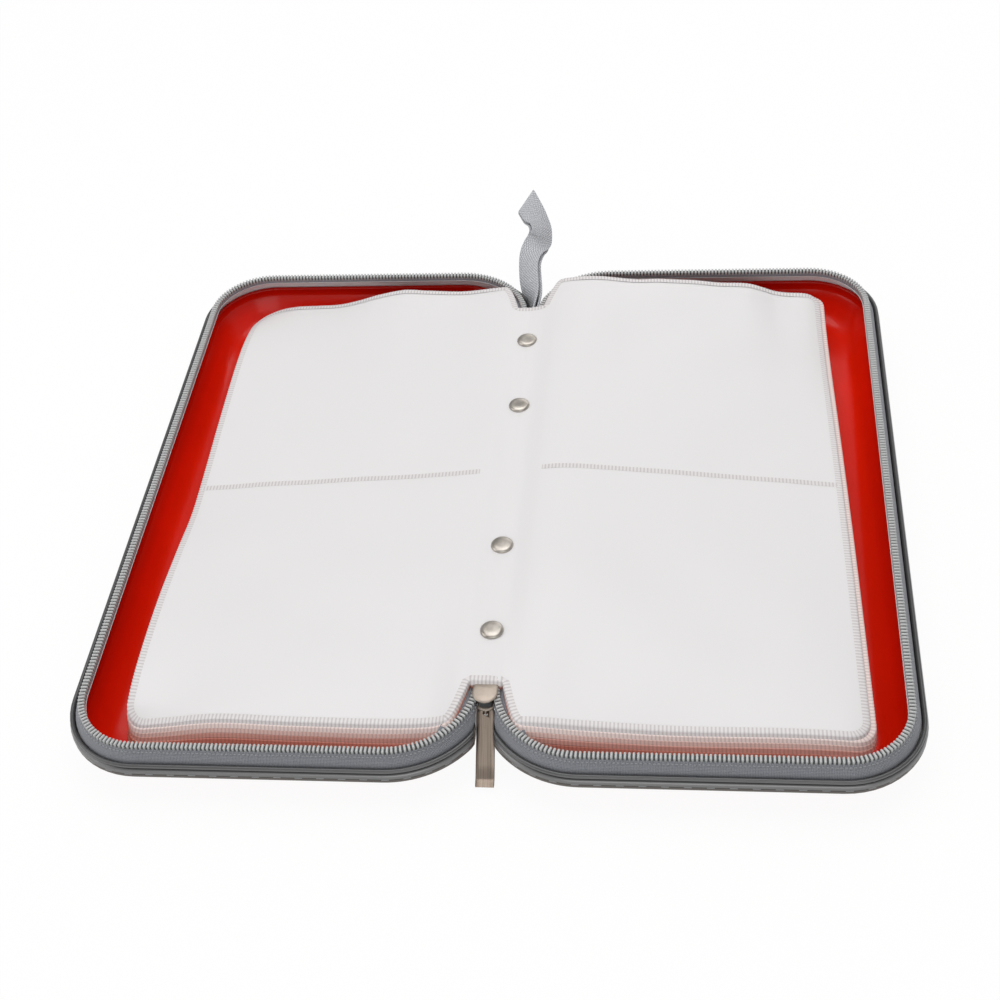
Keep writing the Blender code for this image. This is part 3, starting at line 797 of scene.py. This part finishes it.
def middle_weld(name, side, material):
    """Weld between the two pockets of the top sheet."""
    start, end, ribs = 13.0, PAGE_REACH - 1.0, 240
    rows = []
    for offset, rise in ((-1.3, 0.0), (-0.7, 0.12), (0.0, 0.04), (0.7, 0.12), (1.3, 0.0)):
        row = []
        for i in range(ribs + 1):
            x = start + (end - start) * i / ribs
            rib = 0.1 if i % 2 else -0.1
            z = sheet_height(side, 0, x, offset) + puff(x, offset, PAGE_REACH)
            row.append(sheet_at(side, x, offset, z + rise + rib * (rise > 0.1) + 0.05))
        rows.append(row)
    return loft(name, rows, material, angle=180)


def puff(x, y, reach):
    """Height of the top sheet's pockets over its flat form. They dip at the weld between them."""
    free = max(0.0, min(1.0, (x - 12.0) / 12.0, (reach - 2.0 - x) / 12.0))
    return free * (0.5 * math.sqrt(abs(math.sin(math.pi * y / PAGE_HALF_LENGTH))) - 0.35)


def panel(name, side, layer, material, across, along):
    """The pocket's flat film inside its border. The top sheet is puffed and dips at the middle weld."""
    reach = sheet_size(side, layer)[0]
    edges = [0.0, 2.0, 4.0, 5.4, 6.4, 7.0, 8.0, 9.3, 11.0, 13.0, 16.0, 20.0]
    last = reach - 0.5
    stations = edges + [20.0 + (last - 12.0 - 20.0) * i / across for i in range(1, across + 1)]
    stations += [last - 12.0 * (1 - math.sin(math.radians(90 * i / 8))) for i in range(1, 9)]
    rows = []
    for x in stations:
        near, far = sheet_end(side, layer, x, False) - 0.6, sheet_end(side, layer, x, True) - 0.6
        row = []
        for i in range(along + 1):
            y = -near + (near + far) * i / along
            z = sheet_height(side, layer, x, y)
            if layer == 0:
                z += puff(x, y, reach)
            row.append(sheet_at(side, x, y, z))
        rows.append(row)
    return loft(name, rows, material, angle=180)


def page_stack(side, word, film, border):
    """Top sheet and lower sheets of one side, from the middle of the binding outwards."""
    top = merged(f"{word}_top_sheet", [
        marked(panel("film", side, 0, film, 64, 150), 0),
        marked(weld("border", side, 0, border, RIB_PITCH / 2), 0),
        marked(middle_weld("middle", side, border), 0),
    ])
    lower = []
    for layer in range(1, SHEETS):
        fine = RIB_PITCH / 2 if layer < DEEP_SHEET else COARSE_PITCH
        lower.append(marked(panel("film", side, layer, film, 10, 20), layer))
        lower.append(marked(weld("border", side, layer, border, fine), layer))
    # Each sheet is two pieces: its film and its border.
    deep = 2 * (DEEP_SHEET - 1)
    return top, merged(f"{word}_lower_sheets", lower[:deep]), merged(f"{word}_deep_sheets", lower[deep:])


# Spine

def binding(film):
    """Bound strip under the rivets, with its sheets showing as lines on its ends."""
    half, layers = 5.3, 12
    rows = []
    for x in (-half, 0.0, half):
        section = []
        for layer in range(layers):
            high = 3.55 - 6.7 * layer / layers
            section += [(BINDING_HALF_LENGTH, high), (BINDING_HALF_LENGTH, high - 0.35)]
            section += [(BINDING_HALF_LENGTH - 0.35, high - 0.45)]
        whole = [(-y, z) for y, z in reversed(section)] + section
        rows.append([at(x, y, z) for y, z in whole])
    return marked(outward(loft("bound_strip", rows, film, closed_rows=True, capped=True)), 0)


def rivet_caps(metal):
    """Domed caps with a rolled rim, pressed a little into the film."""
    under = 3.85
    profile = [(0.0, 5.4), (1.8, 5.38), (3.0, 5.28), (3.7, 5.08), (4.15, 4.78), (4.42, 4.42), (4.5, 4.1)]
    profile += [(4.4, under), (0.0, under)]
    caps = []
    for number, y in enumerate(RIVETS, 1):
        caps.append(spun(f"rivet_dome_{number}", profile, at(0, y, 0), metal))
    return caps


def slider(metal, dark):
    """Two rounded plates on a wedge, with a ring below for the pull."""
    back, front, half = -111.4, -119.9, 4.7
    hub = back - 3.8
    straight = (back - front) - half
    nose = arc((0.0, back - straight), (half, half), 180, 360, 24)
    outline = [(-half + 0.6, back), (-half, back - 0.6)] + nose + [(half, back - 0.6), (half - 0.6, back)]
    plates = []
    for word, low, high, dome in (("upper", 1.8, 2.9, 0.35), ("lower", -2.9, -1.8, 0.0)):
        rows = []
        for inset, z in ((0.35, low), (0.0, low + 0.3), (0.0, high - 0.45), (0.3, high - 0.12), (0.8, high),
                         (2.6, high + dome)):
            row = []
            for x, y in outline:
                shrink = 1 - inset / half
                row.append(at(x * shrink, hub + (y - hub) * shrink, z))
            rows.append(row)
        plates.append(outward(loft(f"slider_{word}", rows, metal, closed_rows=True, capped=True, angle=35)))
    # Painted shade: a dark block under the plates stands in for the shadow between the slider and the pull.
    post = block("post", (4.4, 6.0, 4.4), 0.6, 2, dark)
    post.location = at(0, back - 4.2, 0)
    apply_place(post)
    bpy.ops.object.select_all(action="DESELECT")
    bpy.ops.mesh.primitive_torus_add(
        major_radius=1.42 * MM, minor_radius=0.5 * MM, major_segments=28, minor_segments=12,
        location=(0, 0, 0), rotation=(0, math.radians(90), 0))
    ring = bpy.context.active_object
    ring.location = RING
    apply_place(ring)
    ring.data.materials.append(metal)
    ring.data.shade_smooth()
    return merged("slider_body", plates + [post, ring])


def pull(metal):
    """Flat stamped pull that hangs from the ring, with the lip at its end bent up."""
    tab_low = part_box("pull_tab")[0]
    tip_lift = 0.7
    tip = Vector((0.0, tab_low.y, tab_low.z + tip_lift * MM))
    way = tip - RING
    length = way.length / MM
    tilt = math.atan2(-way.z, -way.y)
    slot_half, slot_near, slot_far = 0.6, 0.6, 2.0
    lip, lip_rise = 3.8, 1.1
    rows = []
    stations = [(-0.6, 2.7), (0.0, 3.1), (1.2, 3.4), (3.4, 3.45), (8.0, 3.45), (14.0, 3.45), (20.0, 3.5)]
    stations += [(length - lip, 3.5), (length - 3.2, 3.5), (length - 1.4, 3.5), (length - 0.5, 3.4)]
    for along, half in stations:
        rise = lip_rise * max(0.0, along - (length - lip)) / (lip - 0.5)
        section = [(-half, -0.3), (-half, 0.3), (-half + 0.35, 0.5), (-0.5 * half, 0.42), (0.5 * half, 0.42)]
        section += [(half - 0.35, 0.5), (half, 0.3), (half, -0.3), (half - 0.3, -0.5), (-half + 0.3, -0.5)]
        rows.append([Vector((x * MM, -along * MM, (z + rise) * MM)) for x, z in section])
    blade = outward(loft("pull_blade", rows, metal, closed_rows=True, capped=True, angle=35))
    cut = block("cut", (2 * slot_half, slot_far - slot_near, 4.0), 0.3, 2, None)
    cut.location = (0, -(slot_near + slot_far) / 2 * MM, 0)
    apply_place(cut)
    hole = blade.modifiers.new("slot", "BOOLEAN")
    hole.operation, hole.solver, hole.object = "DIFFERENCE", "EXACT", cut
    apply_modifiers(blade)
    bpy.data.objects.remove(cut)
    blade.data.transform(Matrix.Translation(RING) @ Matrix.Rotation(tilt, 4, "X"))
    return blade


def strap_route(steps):
    """The strap's middle line with its turn in degrees, smooth through the listed places."""
    route = [
        (0.4, 0.0, -7.0, 90), (1.0, 8.0, -6.6, 88), (-0.2, 17.0, -4.6, 66), (-2.4, 26.0, -1.2, 46),
        (-3.2, 34.0, 2.5, 36), (-2.2, 41.0, 5.7, 6), (1.0, 47.5, 8.8, -42), (0.6, 53.5, 11.7, -30),
        (-2.8, 59.5, 14.5, 2), (-6.0, 65.0, 17.1, 10),
    ]
    last = len(route) - 1
    made = []
    for i in range(last):
        before, here, there, after = (Vector(route[min(max(i + k, 0), last)]) for k in (-1, 0, 1, 2))
        slope, next_slope = (there - before) / 2, (after - here) / 2
        for step in range(steps):
            t = step / steps
            bend = 3 * (there - here) - 2 * slope - next_slope
            twist = 2 * (here - there) + slope + next_slope
            made.append(here + slope * t + bend * t ** 2 + twist * t ** 3)
    return made + [Vector(route[-1])]


def strap(webbing):
    """Wrist loop: one ply runs out, turns at the tip and comes back beside the first."""
    route = strap_route(8)
    points = [at(x, STRAP_START + y, z) for x, y, z, _ in route]
    half, thin, gap = 6.0, 0.5, 1.0
    skewed, skew_places = 4.2, 22
    closing = (gap + 2 * thin) / 2 * MM
    plies = {1: [], -1: []}
    for i, point in enumerate(points):
        along = (points[min(i + 1, len(points) - 1)] - points[max(i - 1, 0)]).normalized()
        level = along.cross(Vector((0, 0, 1))).normalized()
        up = level.cross(along)
        turn = math.radians(route[i][3])
        wide = level * math.cos(turn) + up * math.sin(turn)
        thick = along.cross(wide)
        for way in plies:
            plies[way].append((point + thick * closing * way, wide, thick * way))
    tip, wide, thick = points[-1], plies[1][-1][1], plies[1][-1][2]
    ahead = (points[-1] - points[-2]).normalized()
    places = list(plies[1])
    for degrees in range(15, 180, 15):
        angle = math.radians(degrees)
        outside = thick * math.cos(angle) + ahead * math.sin(angle)
        places.append((tip + outside * closing, wide, outside))
    places += list(reversed(plies[-1]))
    section = [(-1.0, -0.5), (-0.93, -1.0), (0.93, -1.0), (1.0, -0.5)]
    section += [(1.0, 0.5), (0.93, 1.0), (-0.93, 1.0), (-1.0, 0.5)]
    around = []
    skew = [1.0 - min(1.0, abs(k - len(places) / 2) / skew_places) for k in range(len(places))]
    for w, t in section:
        row = []
        for (p, wd, th), share in zip(places, skew):
            row.append(p + wd * (w * half * MM) + th * (t * thin * MM) + ahead * (w * skewed * share * MM))
        around.append(row)
    return outward(loft("wrist_loop", around, webbing, closed_across=True, capped=True, angle=50))


# Making

bpy.ops.object.select_all(action="DESELECT")
tab_joint = next(j for j in frame["record"]["behaviour"]["joints"] if j["name"] == "pull_tab_hinge")
RING = Vector(tab_joint["pos_m"])

red = moulded_polypropylene()
vinyl = extruded_vinyl()
tape_cloth = woven_polyester("woven_polyester_tape", "#9A9CA2", "#62646A", 0.55)
# Painted light: a near-white copy of the tape cloth for the tape's shaded inner side.
painted_light_facing_cloth = woven_polyester("tape_facing_painted_light", "#EDEDEE", "#D6D7D9", 0.55)
thread = woven_polyester("twisted_polyester_thread", "#B4B6BA", "#8C8E92", 0.3)
# Painted shade: dark cloth for the cord under the teeth and the slider's post.
painted_shade_cloth = woven_polyester("polyester_cord_painted_shade", "#565A5A", "#343838", 0.4)
spine_cloth = woven_polyester("coated_spine_cloth", "#77797F", "#4C4E52", 0.6)
webbing = woven_polyester("ribbed_webbing", "#D2D4D8", "#8E9094", 1.1, twill=True)
nylon = nylon_coil()
# Painted light: pink to red and darker with depth, for the red bounce light from the tray and the shade in
# the stack.
DEEPER_PAINTED_RED_BOUNCE = [(0.07, "#EAD8D3"), (0.145, "#DFBDB4"), (0.215, "#D0988B"), (0.29, "#C47462"), (1.0, "#A83020")]
film = pocket_film("clear_film_on_felt", [(0.0, "#E0DEDE")] + DEEPER_PAINTED_RED_BOUNCE)
border = pocket_film("welded_film_edge", [(0.0, "#DCD8D8")] + DEEPER_PAINTED_RED_BOUNCE, ribbed=True)
cap_nickel = nickel_plate("polished_nickel_plate", "#C2BCB4", "#A8A29A", 0.3, (1.0, 1.0, 1.0))
slider_nickel = nickel_plate("satin_nickel_plate", "#BDB1A5", "#A99D92", 0.45, (1.0, 1.0, 1.0))
pull_nickel = nickel_plate("brushed_nickel_plate", "#AA9B8E", "#8E8074", 0.28, (8.0, 0.15, 0.15))

for word, side in SIDES:
    cover = f"{word}_cover"
    shell = tray(f"{word}_tray", side, red)
    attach(shell, cover)
    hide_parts(f"{word}_cover_panel")

    band, stitches = rim_frame(f"{word}_frame_band", side, vinyl, thread)
    for piece in (band, stitches):
        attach(piece, cover)
    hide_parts(f"{word}_rim_frame")

    tape, tape_stitches, facing = zipper_tape(f"{word}_tape", side, tape_cloth, thread, painted_light_facing_cloth)
    for piece in (tape, tape_stitches, facing):
        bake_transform(piece)
    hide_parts(f"{word}_zipper_tape")

    teeth, tooth_cord = zipper_teeth(f"{word}_teeth", side, nylon, painted_shade_cloth)
    for piece in (teeth, tooth_cord):
        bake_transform(piece)
    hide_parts(f"{word}_zipper_teeth")

    lining = gusset(f"{word}_gusset", side, tape_cloth)
    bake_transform(lining)

    for piece, bend_start in zip(page_stack(side, word, film, border), (30.0, 30.0, 10.0)):
        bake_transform(piece)
        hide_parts(f"{word}_pages")

strip = binding(film)
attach(strip, "spine")
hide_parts("page_binding")
for number, cap in enumerate(rivet_caps(cap_nickel), 1):
    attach(cap, "spine")
    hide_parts(f"rivet_cap_{number}")
body = slider(slider_nickel, painted_shade_cloth)
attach(body, "spine")
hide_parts("zip_slider")
blade = pull(pull_nickel)
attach(blade, "pull")
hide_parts("pull_tab")
loop = strap(webbing)
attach(loop, "spine")
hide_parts("wrist_strap")

# The web and the rivet posts are shown as the solids that the frame holds.
shown_solids = [("spine_web", spine_cloth)] + [(f"rivet_post_{n}", slider_nickel) for n in (1, 2, 3, 4)]
for name, material in shown_solids:
    for slot in frame["nodes"][name].material_slots:
        slot.material = material

# Studio

bpy.ops.object.select_all(action="DESELECT")
bpy.ops.mesh.primitive_plane_add(size=6.0, location=(0, 0, -0.0002))
floor = bpy.context.active_object
floor.name = "paper_sweep"
floor.data.materials.append(studio_floor())

world = bpy.data.worlds.new("studio")
bpy.context.scene.world = world
world.use_nodes = True
sky = world.node_tree
sky.nodes["Background"].inputs["Color"].default_value = (1.0, 1.0, 1.0, 1.0)
sky.nodes["Background"].inputs["Strength"].default_value = 0.45
seen_white = add(sky, "ShaderNodeBackground", {"Color": (1.0, 1.0, 1.0, 1.0), "Strength": 1.0}).outputs[0]
paths = add(sky, "ShaderNodeLightPath").outputs["Is Camera Ray"]
mixed_sky = add(sky, "ShaderNodeMixShader", {"Fac": paths})
sky.links.new(sky.nodes["Background"].outputs[0], mixed_sky.inputs[1])
sky.links.new(seen_white, mixed_sky.inputs[2])
sky.links.new(mixed_sky.outputs[0], sky.nodes["World Output"].inputs["Surface"])


def area_light(name, place, aim, size, power):
    light = bpy.data.lights.new(name, "AREA")
    light.shape = "RECTANGLE"
    light.size, light.size_y = size
    light.energy = power
    lamp = bpy.data.objects.new(name, light)
    bpy.context.scene.collection.objects.link(lamp)
    lamp.location = place
    lamp.rotation_euler = (Vector(aim) - Vector(place)).to_track_quat("-Z", "Y").to_euler()


area_light("overhead_softbox", (0.0, 0.15, 1.1), (0, 0, 0), (1.2, 1.0), 7.0)
area_light("left_softbox", (-1.1, -0.3, 0.7), (0, 0, 0), (0.8, 0.8), 3.0)
area_light("back_softbox", (0.3, 1.2, 0.6), (0, 0, 0), (1.0, 0.5), 2.0)
area_light("front_softbox", (0.2, -1.3, 0.7), (0, 0, 0), (1.2, 0.6), 3.0)

# Camera, placed so that the case lies in the picture as it does in the photo
lens = bpy.data.cameras.new("photo_camera")
lens.sensor_width = 36.0
lens.lens = 58.82
camera = bpy.data.objects.new("photo_camera", lens)
bpy.context.scene.collection.objects.link(camera)
camera.location = at(77.45, -488.1, 466.1)
spin = Matrix.Rotation(math.radians(9.7), 3, "Z") @ Matrix.Rotation(math.radians(46), 3, "X")
camera.rotation_euler = (spin @ Matrix.Rotation(math.radians(-6.6), 3, "Z")).to_euler()
bpy.context.scene.camera = camera
bpy.context.scene.view_settings.view_transform = "Standard"
